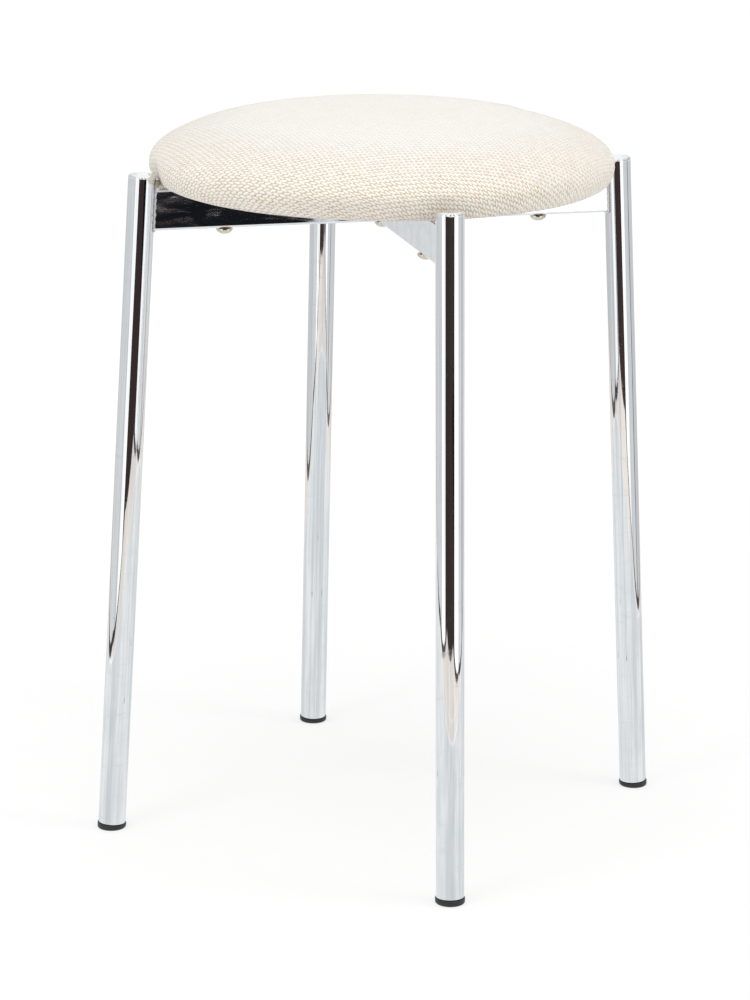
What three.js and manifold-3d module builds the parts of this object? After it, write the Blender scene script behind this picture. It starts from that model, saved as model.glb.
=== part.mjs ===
// A round upholstered stool on four splayed tube legs, joined under the seat by two crossed bars.
// Lengths are in millimetres and +Z is up. The origin is on the floor under the middle of the seat.
// The legs stand on the axes: right on +X, back on +Y, left on -X and front on -Y.

import * as THREE from 'three';
import { mergeVertices } from 'three/addons/utils/BufferGeometryUtils.js';
import Module from 'manifold-3d';

const wasm = await Module();
wasm.setup();

// Fits: touchGap lies between pieces that touch, boltGap round a bolt in its hole.
const touchGap = 0.3;
const boltGap = 0.3;
const cutOverrun = 2;

// Seat, over its cover
const seatRadius = 166;
const seatCrownHeight = 39;
const seatDropHeight = 12.5;
const seatDropWidth = 12;
const crownFullness = 2.3;
const dropFullness = 2.2;

// Cover, foam and board
const coverThickness = 1.5;
const hemWidth = 30;
const foamSkirtDrop = 5;
const boardInset = 6;
const boardThickness = 12;
const boardTopRounding = 3;

// Legs. Each foot stands farther out than its leg's top by legLeanOut.
const legDiameter = 20;
const legWall = 1.5;
const legRiseOverBars = 11;
const legTopDome = 0.5;
const legShoulderRounding = 2.2;
const legMouthBevel = 0.4;
const legLeanOut = 26.7;

// Glides in the legs' lower ends
const glideHeight = 4.4;
const glideDiameter = 21.2;
const glideTopRounding = 0.4;
const glideSoleRounding = 1.5;
const stemLength = 20;
const stemTipTaper = 3;
const stemRibDepth = 0.9;
const stemRibCount = 3;

// Cross bars, rectangular tube on edge
const barTopLevel = 478;
const barHeight = 30;
const barWidth = 10;
const barWall = 1.5;
const barCorner = 2;

// Welds
const endWeldSize = 1.6;
const cornerWeldSize = 2.6;
const cornerWeldHollowShare = 0.3;

// Bolts up through the bars. Beyond the bar's height a bolt reaches on into the board.
const boltHemClearance = 7;
const boltDiameter = 6;
const boltReach = 10;
const boltTipBevel = 0.8;
const boltHeadDiameter = 12;
const boltHeadHeight = 4.5;
const boltHeadEdge = 0.7;
const recessSpan = 6.4;
const recessWidth = 1.1;
const recessDepth = 2.2;

// Pronged nuts driven into the board from above
const nutFlangeDiameter = 19;
const nutFlangeThickness = 1.5;
const nutBarrelDiameter = 8;
const nutBarrelLength = 9;
const prongCount = 4;
const prongSpread = 7.2;
const prongWidth = 3;
const prongThickness = 1.2;
const prongLength = 6;

// Facet counts
const seatFacets = 44;
const legFacets = 24;
const glideFacets = 20;
const boltFacets = 16;
const crownSteps = 10;
const dropSteps = 6;
const innerCrownSteps = 6;
const innerDropSteps = 4;
const domeSteps = 5;
const roundingSteps = 3;

// Levels and places that follow from the sizes above
const barLowLevel = barTopLevel - barHeight;
const barMidLevel = barTopLevel - barHeight / 2;
const seatLowLevel = barTopLevel + touchGap;
const seatWideLevel = seatLowLevel + seatDropHeight;
const coverInset = coverThickness + touchGap;
const boardLowLevel = seatLowLevel + coverInset;
const boardTopLevel = boardLowLevel + boardThickness;
const legRadius = legDiameter / 2;
const boreRadius = legRadius - legWall;
const legTopLevel = barTopLevel + legRiseOverBars;
const topSpread = seatRadius + touchGap + legRadius;
const footSpread = topSpread + legLeanOut;
const legSplay = Math.atan2(footSpread - topSpread, legTopLevel);
const legLength = legTopLevel / Math.cos(legSplay);
const hemRadius = seatRadius - seatDropWidth - hemWidth;
const boardRadius = seatRadius - boardInset;
const boltSpread = hemRadius - boltHemClearance;
const boltLength = barHeight + boltReach;
const boltRadius = boltDiameter / 2;
const boltHoleRadius = boltRadius + boltGap;

const steel = new THREE.MeshStandardMaterial({ color: 0xd9dbde, metalness: 1, roughness: 0.08 });
const nickel = new THREE.MeshStandardMaterial({ color: 0xcfc8bb, metalness: 1, roughness: 0.25 });
const zinc = new THREE.MeshStandardMaterial({ color: 0xb9bcc0, metalness: 1, roughness: 0.4 });
const plastic = new THREE.MeshStandardMaterial({ color: 0x242424, metalness: 0, roughness: 0.5 });
const plywood = new THREE.MeshStandardMaterial({ color: 0xc9a877, metalness: 0, roughness: 0.7 });
const polyfoam = new THREE.MeshStandardMaterial({ color: 0xe6dcae, metalness: 0, roughness: 1 });
const fabric = new THREE.MeshStandardMaterial({ color: 0xece2d2, metalness: 0, roughness: 0.95 });

// Turns a closed geometry into a solid that can be cut and joined.
function solidFrom(geometry) {
  const bare = geometry.clone();
  bare.deleteAttribute('normal');
  bare.deleteAttribute('uv');
  const merged = mergeVertices(bare);
  const vertProperties = new Float32Array(merged.attributes.position.array);
  const triVerts = new Uint32Array(merged.index.array);
  return new wasm.Manifold(new wasm.Mesh({ numProp: 3, vertProperties, triVerts }));
}

function geometryFrom(solid) {
  const mesh = solid.getMesh();
  const geometry = new THREE.BufferGeometry();
  geometry.setAttribute('position', new THREE.BufferAttribute(mesh.vertProperties, 3));
  geometry.setIndex(new THREE.BufferAttribute(mesh.triVerts, 1));
  geometry.computeVertexNormals();
  return geometry;
}

function cut(solid, cutters) {
  return cutters.reduce((rest, cutter) => rest.subtract(solidFrom(cutter)), solid);
}

function point(radius, level) {
  return new THREE.Vector2(radius, level);
}

// Revolves a profile of radius and level about Z. The profile runs up the outside.
function revolve(profile, facets) {
  return new THREE.LatheGeometry(profile, facets).rotateX(Math.PI / 2);
}

function rod(radius, lowLevel, topLevel, facets = boltFacets) {
  const low = [point(0, lowLevel), point(radius, lowLevel)];
  const top = [point(radius, topLevel), point(0, topLevel)];
  return revolve([...low, ...top], facets);
}

// Points of a quarter round from one angle to another about a centre.
function arc(centre, radius, fromAngle, toAngle, steps = roundingSteps) {
  return Array.from({ length: steps + 1 }, (_, step) => {
    const angle = fromAngle + ((toAngle - fromAngle) * step) / steps;
    return point(centre.x + radius * Math.cos(angle), centre.y + radius * Math.sin(angle));
  });
}

function roundedRectangle(width, height, corner) {
  const side = width / 2 - corner;
  const top = height / 2 - corner;
  const shape = new THREE.Shape();
  shape.absarc(side, top, corner, 0, Math.PI / 2);
  shape.absarc(-side, top, corner, Math.PI / 2, Math.PI);
  shape.absarc(-side, -top, corner, Math.PI, Math.PI * 1.5);
  shape.absarc(side, -top, corner, Math.PI * 1.5, Math.PI * 2);
  return shape;
}

// Lays a section, drawn across and up, along +X from one distance to another at a level.
function alongX(shape, fromX, toX, level, options = {}) {
  const settings = { depth: toX - fromX, bevelEnabled: false, curveSegments: roundingSteps, ...options };
  const across = new THREE.Vector3(0, 1, 0);
  const up = new THREE.Vector3(0, 0, 1);
  const out = new THREE.Vector3(1, 0, 0);
  return new THREE.ExtrudeGeometry(shape, settings)
    .applyMatrix4(new THREE.Matrix4().makeBasis(across, up, out))
    .translate(fromX, 0, level);
}

// The seat's outline from the crown out and down to the flat underside, drawn in by an inset.
// Every drawn-in outline has the same steps, so that their facets lie side by side.
function seatOutline(inset) {
  const acrossSteps = inset > 0 ? innerCrownSteps : crownSteps;
  const downSteps = inset > 0 ? innerDropSteps : dropSteps;
  const quarter = (halfWidth, height, fullness, angle) => {
    const across = Math.sin(angle) ** (2 / fullness);
    const rise = Math.cos(angle) ** (2 / fullness);
    const normal = point(across ** (fullness - 1) / halfWidth, rise ** (fullness - 1) / height).normalize();
    return { x: halfWidth * across - inset * normal.x, y: height * rise - inset * normal.y };
  };
  const crown = Array.from({ length: acrossSteps + 1 }, (_, step) => {
    const angle = ((Math.PI / 2) * step) / acrossSteps;
    const place = quarter(seatRadius, seatCrownHeight, crownFullness, angle);
    return point(place.x, seatWideLevel + place.y);
  });
  const flatRadius = seatRadius - seatDropWidth;
  const drop = Array.from({ length: downSteps }, (_, step) => {
    const angle = (Math.PI / 2) * (1 - (step + 1) / downSteps);
    const place = quarter(seatDropWidth, seatDropHeight, dropFullness, angle);
    return point(flatRadius + place.x, seatWideLevel - place.y);
  });
  return { crown, drop };
}

function seatSolid(inset) {
  const { crown, drop } = seatOutline(inset);
  const underside = drop[drop.length - 1].y;
  return solidFrom(revolve([point(0, underside), ...drop.reverse(), ...crown.reverse()], seatFacets));
}

// A leg's own frame: from the floor up along its axis, in the frame of the side it stands on.
function alongLeg(geometry) {
  return geometry.rotateY(-legSplay).translate(footSpread, 0, 0);
}

function legSpace() {
  return alongLeg(rod(legRadius + touchGap, -cutOverrun, legLength + cutOverrun, legFacets));
}

// Tube with a closed, slightly domed top and an open lower mouth.
function legGeometry() {
  const shoulderRadius = legRadius - legShoulderRounding;
  const shoulderLevel = legLength - legTopDome - legShoulderRounding;
  const profile = [
    point(boreRadius, glideHeight),
    point(legRadius - legMouthBevel, glideHeight),
    point(legRadius, glideHeight + legMouthBevel),
    ...arc(point(shoulderRadius, shoulderLevel), legShoulderRounding, 0, Math.PI / 2),
    point(0, legLength),
    point(0, legLength - legWall),
    point(shoulderRadius, legLength - legTopDome - legWall),
    point(boreRadius, shoulderLevel),
    point(boreRadius, glideHeight),
  ];
  return alongLeg(revolve(profile, legFacets));
}

// Glide with a ribbed stem up the tube, a lip round the leg's axis and a sole level with the floor.
function glideGeometry() {
  const lipRadius = glideDiameter / 2;
  const lipTop = glideHeight - touchGap;
  const ribRadius = boreRadius - touchGap;
  const coreRadius = ribRadius - stemRibDepth;
  const ribPitch = (stemLength - stemTipTaper) / stemRibCount;
  const ribs = Array.from({ length: stemRibCount }, (_, rib) => [
    point(coreRadius, lipTop + rib * ribPitch),
    point(ribRadius, lipTop + (rib + 1) * ribPitch),
  ]).flat();
  const stemTop = lipTop + stemLength;
  const profile = [
    point(0, -cutOverrun),
    point(lipRadius, -cutOverrun),
    point(lipRadius, lipTop - glideTopRounding),
    point(lipRadius - glideTopRounding, lipTop),
    ...ribs,
    point(coreRadius - stemRibDepth, stemTop),
    point(0, stemTop),
  ];
  const body = solidFrom(alongLeg(revolve(profile, glideFacets)));
  const puckRadius = lipRadius / Math.cos(legSplay);
  const puckTop = stemTop + cutOverrun;
  const puck = [
    point(0, 0),
    ...arc(point(puckRadius - glideSoleRounding, glideSoleRounding), glideSoleRounding, -Math.PI / 2, 0),
    point(puckRadius + cutOverrun, lipTop),
    point(puckRadius + cutOverrun, puckTop),
    point(0, puckTop),
  ];
  return geometryFrom(body.intersect(solidFrom(revolve(puck, glideFacets).translate(footSpread, 0, 0))));
}

function barSection(growth) {
  return roundedRectangle(barWidth + 2 * growth, barHeight + 2 * growth, barCorner + growth);
}

// Rectangular tube from one distance to another along +X, bored for the bolts.
function barTube(fromX, toX, boltPlaces) {
  const tube = solidFrom(alongX(barSection(0), fromX, toX, barMidLevel));
  const hollow = alongX(barSection(-barWall), fromX - cutOverrun, toX + cutOverrun, barMidLevel);
  const holes = boltPlaces.map((place) =>
    rod(boltHoleRadius, barLowLevel - cutOverrun, barTopLevel + cutOverrun).translate(place, 0, 0));
  return cut(tube, [hollow, ...holes]);
}

function longBarGeometry() {
  const tube = barTube(-topSpread, topSpread, [-boltSpread, 0, boltSpread]);
  return geometryFrom(cut(tube, [legSpace(), legSpace().rotateZ(Math.PI)]));
}

function halfBarGeometry() {
  const tube = barTube(barWidth / 2 + touchGap, topSpread, [boltSpread]);
  return geometryFrom(cut(tube, [legSpace()]));
}

// Rounded bead round a bar's end where it meets the leg.
function endWeldGeometry() {
  const legPlace = footSpread - (footSpread - topSpread) * (barMidLevel / legTopLevel);
  const legFace = legPlace - legRadius;
  const bead = alongX(barSection(touchGap), legFace, legPlace, barMidLevel, {
    bevelEnabled: true,
    bevelThickness: endWeldSize,
    bevelSize: endWeldSize,
    bevelSegments: roundingSteps,
  });
  const farEnd = legPlace + legDiameter;
  const barSpace = alongX(barSection(touchGap), legFace - 2 * endWeldSize, farEnd, barMidLevel);
  const beyondLeg = alongX(barSection(2 * endWeldSize), legPlace, farEnd, barMidLevel);
  return geometryFrom(cut(solidFrom(bead), [barSpace, legSpace(), beyondLeg]));
}

// Upright fillet in one of the four corners where the bars cross.
function cornerWeldGeometry() {
  const hollow = cornerWeldSize * cornerWeldHollowShare;
  const shape = new THREE.Shape();
  shape.moveTo(0, 0);
  shape.lineTo(cornerWeldSize, 0);
  shape.quadraticCurveTo(hollow, hollow, 0, cornerWeldSize);
  shape.closePath();
  const height = barHeight - 2 * barCorner;
  const corner = barWidth / 2 + touchGap;
  const settings = { depth: height, bevelEnabled: false, curveSegments: roundingSteps };
  return new THREE.ExtrudeGeometry(shape, settings).translate(corner, corner, barLowLevel + barCorner);
}

// Bolt with a domed head and a crossed recess, its head under the bar.
function boltGeometry() {
  const seat = barLowLevel - touchGap;
  const headRadius = boltHeadDiameter / 2;
  const domeHeight = boltHeadHeight - boltHeadEdge;
  const domeBase = seat - boltHeadEdge;
  const dome = Array.from({ length: domeSteps }, (_, step) => {
    const angle = ((Math.PI / 2) * step) / domeSteps;
    return point(headRadius * Math.cos(angle), domeBase - domeHeight * Math.sin(angle));
  });
  const tip = seat + boltLength;
  const profile = [
    point(0, domeBase - domeHeight),
    ...dome.reverse(),
    point(headRadius, seat),
    point(boltRadius, seat),
    point(boltRadius, tip - boltTipBevel),
    point(boltRadius - boltTipBevel, tip),
    point(0, tip),
  ];
  const slotTop = seat - boltHeadHeight + recessDepth;
  const slotHeight = recessDepth + cutOverrun;
  const slot = () => new THREE.BoxGeometry(recessSpan, recessWidth, slotHeight)
    .translate(0, 0, slotTop - slotHeight / 2);
  return geometryFrom(cut(solidFrom(revolve(profile, boltFacets)), [slot(), slot().rotateZ(Math.PI / 2)]));
}

// A prong tapers down to its point. The same place, grown by a gap, is cut in the board.
function prongAngles() {
  return Array.from({ length: prongCount }, (_, prong) => ((prong + 0.5) * 2 * Math.PI) / prongCount);
}

function prongGeometry(angle) {
  const top = boardTopLevel - nutFlangeThickness;
  const shape = new THREE.Shape();
  shape.moveTo(-prongWidth / 2, 0);
  shape.lineTo(0, -prongLength);
  shape.lineTo(prongWidth / 2, 0);
  shape.lineTo(0, nutFlangeThickness / 2);
  shape.closePath();
  return alongX(shape, prongSpread, prongSpread + prongThickness, top).rotateZ(angle);
}

function prongSpace(angle) {
  const depth = nutFlangeThickness + prongLength + touchGap;
  return new THREE.BoxGeometry(prongThickness + 2 * touchGap, prongWidth + 2 * touchGap, depth)
    .translate(prongSpread + prongThickness / 2, 0, boardTopLevel - depth / 2)
    .rotateZ(angle);
}

function nutGeometry() {
  const flangeLow = boardTopLevel - nutFlangeThickness;
  const barrelLow = flangeLow - nutBarrelLength;
  const flange = solidFrom(rod(nutFlangeDiameter / 2, flangeLow, boardTopLevel));
  const barrel = solidFrom(rod(nutBarrelDiameter / 2, barrelLow, boardTopLevel - nutFlangeThickness / 2));
  const prongs = prongAngles().map((angle) => solidFrom(prongGeometry(angle)));
  const body = prongs.reduce((joined, prong) => joined.add(prong), flange.add(barrel));
  const bore = rod(boltHoleRadius, barrelLow - cutOverrun, boardTopLevel + cutOverrun);
  return geometryFrom(cut(body, [bore]));
}

// Everything that a nut at one place takes out of the board.
function nutSpaces(placeX, placeY) {
  const barrelRadius = nutBarrelDiameter / 2 + touchGap;
  const flangeRadius = nutFlangeDiameter / 2 + touchGap;
  const counterbore = boardTopLevel - nutFlangeThickness - touchGap;
  return [
    rod(barrelRadius, boardLowLevel - cutOverrun, boardTopLevel + cutOverrun),
    rod(flangeRadius, counterbore, boardTopLevel + cutOverrun),
    ...prongAngles().map(prongSpace),
  ].map((space) => space.translate(placeX, placeY, 0));
}

// Round board whose lower edge is rounded to carry the cover.
function boardGeometry() {
  const lowLevel = boardLowLevel - cutOverrun;
  const roundingCentre = point(boardRadius - boardTopRounding, boardTopLevel - boardTopRounding);
  const profile = [
    point(0, lowLevel),
    point(boardRadius, lowLevel),
    ...arc(roundingCentre, boardTopRounding, 0, Math.PI / 2),
    point(0, boardTopLevel),
  ];
  const board = solidFrom(revolve(profile, seatFacets)).intersect(seatSolid(coverInset));
  const places = [[0, 0], [boltSpread, 0], [0, boltSpread], [-boltSpread, 0], [0, -boltSpread]];
  const spaces = places.flatMap(([placeX, placeY]) => nutSpaces(placeX, placeY));
  return geometryFrom(cut(board, spaces));
}

// Crowned foam that caps the board and reaches down round its edge.
function foamGeometry() {
  const belowBoard = boardLowLevel - cutOverrun;
  const boardSpace = rod(boardRadius + touchGap, belowBoard, boardTopLevel + touchGap, seatFacets);
  const belowSkirt = rod(seatRadius, belowBoard, seatWideLevel - foamSkirtDrop, seatFacets);
  return geometryFrom(cut(seatSolid(coverInset), [boardSpace, belowSkirt]));
}

// Fabric from the crown, round the edge and in under the board to its open hem.
function coverGeometry() {
  const hollow = seatSolid(coverThickness);
  const opening = rod(hemRadius, seatLowLevel - cutOverrun, boardLowLevel, seatFacets);
  return geometryFrom(cut(seatSolid(0).subtract(hollow), [opening]));
}

function piece(name, geometry, material) {
  const mesh = new THREE.Mesh(geometry, material);
  mesh.name = name;
  return mesh;
}

const stool = new THREE.Group();

const sides = [
  { name: 'right', turn: 0 },
  { name: 'back', turn: Math.PI / 2 },
  { name: 'left', turn: Math.PI },
  { name: 'front', turn: Math.PI * 1.5 },
];

for (const side of sides) {
  const corner = new THREE.Group();
  corner.rotation.z = side.turn;
  const bolt = piece(`seat_bolt_${side.name}`, boltGeometry(), nickel);
  bolt.position.x = boltSpread;
  const nut = piece(`pronged_nut_${side.name}`, nutGeometry(), zinc);
  nut.position.x = boltSpread;
  corner.add(
    piece(`leg_${side.name}`, legGeometry(), steel),
    piece(`glide_${side.name}`, glideGeometry(), plastic),
    piece(`end_weld_${side.name}`, endWeldGeometry(), steel),
    bolt,
    nut,
  );
  stool.add(corner);
}

stool.add(piece('long_bar', longBarGeometry(), steel));

for (const side of sides.filter(({ name }) => name === 'front' || name === 'back')) {
  const bar = piece(`half_bar_${side.name}`, halfBarGeometry(), steel);
  bar.rotation.z = side.turn;
  stool.add(bar);
}

const quarters = ['back_right', 'back_left', 'front_left', 'front_right'];

quarters.forEach((name, quarter) => {
  const weld = piece(`corner_weld_${name}`, cornerWeldGeometry(), steel);
  weld.rotation.z = (quarter * Math.PI) / 2;
  stool.add(weld);
});

stool.add(
  piece('seat_bolt_middle', boltGeometry(), nickel),
  piece('pronged_nut_middle', nutGeometry(), zinc),
  piece('seat_board', boardGeometry(), plywood),
  piece('seat_foam', foamGeometry(), polyfoam),
  piece('seat_cover', coverGeometry(), fabric),
);

export default stool;
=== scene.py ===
"""Looks of a round upholstered stool: a crowned woven seat on crossed bars between four chromed legs.

Lengths are in metres and +Z is up. The legs stand on the axes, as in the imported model.
"""

import math
import random

import bmesh
import bpy
import numpy as np
from mathutils import Matrix, Vector
from mathutils.bvhtree import BVHTree


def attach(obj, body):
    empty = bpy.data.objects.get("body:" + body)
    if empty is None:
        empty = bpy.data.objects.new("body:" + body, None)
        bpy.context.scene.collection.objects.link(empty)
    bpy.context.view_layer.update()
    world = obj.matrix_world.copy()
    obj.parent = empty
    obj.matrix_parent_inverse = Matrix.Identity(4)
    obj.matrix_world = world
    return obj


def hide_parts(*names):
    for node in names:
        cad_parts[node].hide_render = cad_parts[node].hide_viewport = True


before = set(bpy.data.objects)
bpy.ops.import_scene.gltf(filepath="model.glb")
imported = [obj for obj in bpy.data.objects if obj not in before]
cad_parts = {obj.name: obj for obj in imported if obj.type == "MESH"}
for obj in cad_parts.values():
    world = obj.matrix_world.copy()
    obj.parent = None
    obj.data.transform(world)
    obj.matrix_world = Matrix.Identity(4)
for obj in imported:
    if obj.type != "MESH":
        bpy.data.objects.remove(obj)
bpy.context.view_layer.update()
scene = bpy.context.scene

MM = 0.001
SIDES = {"right": 0, "back": 90, "left": 180, "front": 270}
ON_AXIS = 1e-7

# Legs
LEG_RADIUS = 10 * MM
LEG_WALL = 1.5 * MM
LEG_TOP_LEVEL = 489 * MM
LEG_TOP_DOME = 0.5 * MM
LEG_SHOULDER = 2.2 * MM
LEG_MOUTH_BEVEL = 0.4 * MM
TOP_SPREAD = 176.3 * MM
LEAN_OUT = 26.7 * MM
FOOT_SPREAD = TOP_SPREAD + LEAN_OUT
SPLAY = math.atan2(LEAN_OUT, LEG_TOP_LEVEL)
LEG_LENGTH = LEG_TOP_LEVEL / math.cos(SPLAY)
FIT_GAP = 0.3 * MM

# Glides
GLIDE_HEIGHT = 4.4 * MM
GLIDE_RADIUS = 10.6 * MM
SOLE_ROUNDING = 1.5 * MM
LIP_ROUNDING = 0.4 * MM
LINE_DEPTH = 0.14 * MM
LINE_SHARES = (0.42, 0.72)
STEM_LENGTH = 20 * MM
STEM_TAPER = 1.8 * MM
RIB_COUNT = 3
RIB_PITCH = 5.6 * MM
RIB_DEPTH = 0.9 * MM
RIB_START = 0.4 * MM
RIB_CREST = 4.8 * MM
RIB_BACK = 5.3 * MM
RIB_BACK_DEPTH = 0.2 * MM

# Bars
BAR_TOP = 478 * MM
BAR_HEIGHT = 30 * MM
BAR_WIDTH = 10 * MM
BAR_WALL = 1.5 * MM
BAR_CORNER = 2 * MM
BAR_GUARD = 0.2 * MM
BAR_MIDDLE = BAR_TOP - BAR_HEIGHT / 2
BAR_END_EDGE = 0.4 * MM
CUT_OVERRUN = 2 * MM

# Welds
BEAD_SIZE = 1.25 * MM
BEAD_HEAP = 0.8 * MM
BEAD_SEAT = 0.12 * MM
BEAD_GAP = 0.1 * MM
BEAD_STEP = 0.25 * MM
FILLET_SIZE = 2.6 * MM

# Bolts
BOLT_SPREAD = 117 * MM
BOLT_SEAT = BAR_TOP - BAR_HEIGHT - FIT_GAP
BOLT_RADIUS = 3 * MM
BOLT_LENGTH = 40 * MM
HEAD_RADIUS = 6 * MM
HEAD_HEIGHT = 4.5 * MM
HEAD_EDGE = 0.7 * MM
HEAD_BEVEL = 0.15 * MM
NECK_FILLET = 0.3 * MM
RECESS_REACH = 3.2 * MM
RECESS_WIDTH = 1.1 * MM
RECESS_DEPTH = 2.2 * MM
THREAD_PITCH = 1.0 * MM
THREAD_DEPTH = 0.35 * MM
THREAD_LENGTH = 26 * MM
TIP_LENGTH = 0.8 * MM
TIP_TAPER = 0.9 * MM

# Seat
SEAT_RADIUS = 166 * MM
CROWN_HEIGHT = 39 * MM
CROWN_FULLNESS = 2.3
DROP_HEIGHT = 12.5 * MM
DROP_WIDTH = 12 * MM
DROP_FULLNESS = 2.2
SEAT_LOW = BAR_TOP + FIT_GAP
SEAT_WIDE = SEAT_LOW + DROP_HEIGHT
COVER_THICKNESS = 1.5 * MM
HEM_RADIUS = 124 * MM
FOAM_INSET = COVER_THICKNESS + FIT_GAP
BOARD_RADIUS = 160 * MM
BOARD_TOP = SEAT_LOW + FOAM_INSET + 12 * MM
SKIRT_LEVEL = SEAT_WIDE - 5 * MM
SKIRT_EDGE = 0.6 * MM
AROUND = 360

# How the seat has swollen and settled
SWELL_INSET = 2.5 * MM
SWELL_VOXEL = 5 * MM
SWELL_PRESSURE = 4.0
SWELL_FRAMES = 20
SWELL_CAP = 6 * MM
SWELL_KEPT = (-0.4 * MM, 1.0 * MM)
SWELL_ROUNDS = 14
COVER_SLACK = 0.5 * MM
FOAM_SLACK = 0.4 * MM
CROWN_SUNK = 0.8 * MM
CROWN_SIDE = (SEAT_WIDE + 8 * MM, SEAT_WIDE + 30 * MM)
RIM_BULGE = 2.1 * MM
RIM_UNEVEN = 1.2 * MM
FULLEST_SIDE = math.radians(165)
FRONT_LIFT = 3.0 * MM
RIM_HANG = 0.6 * MM
LOWER_SIDE = (503 * MM, 487 * MM)
LOWER_RIM = (156 * MM, 165 * MM)

# Gathers and staples under the seat
GATHER_DEPTH = 1.25 * MM
GATHER_START = 163 * MM
GATHER_RUN = 24 * MM
GATHER_CLEARANCE = (7 * MM, 14 * MM)
STAPLE_COUNT = 76
STAPLE_RADIUS = 133 * MM
STAPLE_SUNK = 1.7 * MM
BAR_CLEARANCE = 13 * MM


# Meshes

def add_object(name, data):
    added = bpy.data.objects.new(name, data)
    scene.collection.objects.link(added)
    return added


def make_piece(name, points, faces, material):
    """A smooth closed mesh piece with its faces turned outwards."""
    mesh = bpy.data.meshes.new(name)
    mesh.from_pydata([tuple(p) for p in points], [], faces)
    shell = bmesh.new()
    shell.from_mesh(mesh)
    bmesh.ops.recalc_face_normals(shell, faces=shell.faces)
    shell.to_mesh(mesh)
    shell.free()
    mesh.polygons.foreach_set("use_smooth", [True] * len(mesh.polygons))
    mesh.materials.append(material)
    return add_object(name, mesh)


def keep_own_place(piece, places):
    """Notes a place of its own for each point, which finishes that follow the piece read."""
    layer = piece.data.attributes.new("own_place", "FLOAT_VECTOR", "POINT")
    layer.data.foreach_set("vector", np.array(places, dtype=np.float32).ravel())


def grid_faces(rows, columns, close_rows=False):
    """Quads of a grid whose columns run round; rows may close on themselves too."""
    faces = []
    for row in range(rows if close_rows else rows - 1):
        after = (row + 1) % rows
        for column in range(columns):
            beside = (column + 1) % columns
            faces.append((
                row * columns + column, row * columns + beside,
                after * columns + beside, after * columns + column))
    return faces


def turn(profile, segments):
    """Turns a profile of radius and level about Z. An end on the axis closes in a point."""
    first, last = profile[0], profile[-1]
    ring = [(r, z) for r, z in profile if r > ON_AXIS]
    angles = np.linspace(0, 2 * math.pi, segments, endpoint=False)
    points = [(r * math.cos(a), r * math.sin(a), z) for r, z in ring for a in angles]
    faces = grid_faces(len(ring), segments)
    for end, row in ((first, 0), (last, len(ring) - 1)):
        if end[0] <= ON_AXIS:
            pole = len(points)
            points.append((0, 0, end[1]))
            ring_start = row * segments
            faces += [(ring_start + k, ring_start + (k + 1) % segments, pole) for k in range(segments)]
    return points, faces


def arc(centre, radius, start, stop, steps):
    """Points of a round about a centre, from one angle to another in degrees."""
    angles = np.radians(np.linspace(start, stop, steps + 1))
    return [(centre[0] + radius * math.cos(a), centre[1] + radius * math.sin(a)) for a in angles]


def smooth_share(value, start, stop):
    """0 up to start, 1 from stop on, and smooth between."""
    share = min(max((value - start) / (stop - start), 0), 1)
    return share * share * (3 - 2 * share)


def stand_on_leg(points):
    """Takes points from the leg's own axis to the leg on +X."""
    c, s = math.cos(SPLAY), math.sin(SPLAY)
    return [(x * c - z * s + FOOT_SPREAD, y, x * s + z * c) for x, y, z in points]


def face_of_leg(across, level, gap):
    """Where a line along +X at this place meets the leg's inner side, less a gap."""
    reach = math.sqrt(max((LEG_RADIUS + gap) ** 2 - across ** 2, 0))
    return FOOT_SPREAD - (reach + level * math.sin(SPLAY)) / math.cos(SPLAY)


def turned(points, degrees):
    """Turns points about Z."""
    c, s = math.cos(math.radians(degrees)), math.sin(math.radians(degrees))
    return [(x * c - y * s, x * s + y * c, z) for x, y, z in points]


def finish_piece(piece, slot, *nodes):
    """Puts a piece on the one body and hides the nodes that it stands for. Its slot is not used."""
    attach(piece, "root")
    if nodes:
        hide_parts(*nodes)


def without_modifiers(piece):
    """Puts the evaluated mesh in place of the piece's own and removes its modifiers."""
    graph = bpy.context.evaluated_depsgraph_get()
    result = bpy.data.meshes.new_from_object(piece.evaluated_get(graph))
    piece.modifiers.clear()
    piece.data = result


def carve(piece, cutters):
    """Cuts closed meshes out of a piece."""
    for cutter in cutters:
        knife = piece.modifiers.new("cut", "BOOLEAN")
        knife.operation = "DIFFERENCE"
        knife.solver = "EXACT"
        knife.object = cutter
    without_modifiers(piece)
    for cutter in cutters:
        bpy.data.objects.remove(cutter)
    piece.data.polygons.foreach_set("use_smooth", [True] * len(piece.data.polygons))
    piece.data.set_sharp_from_angle(angle=math.radians(35))


# Materials

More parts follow.
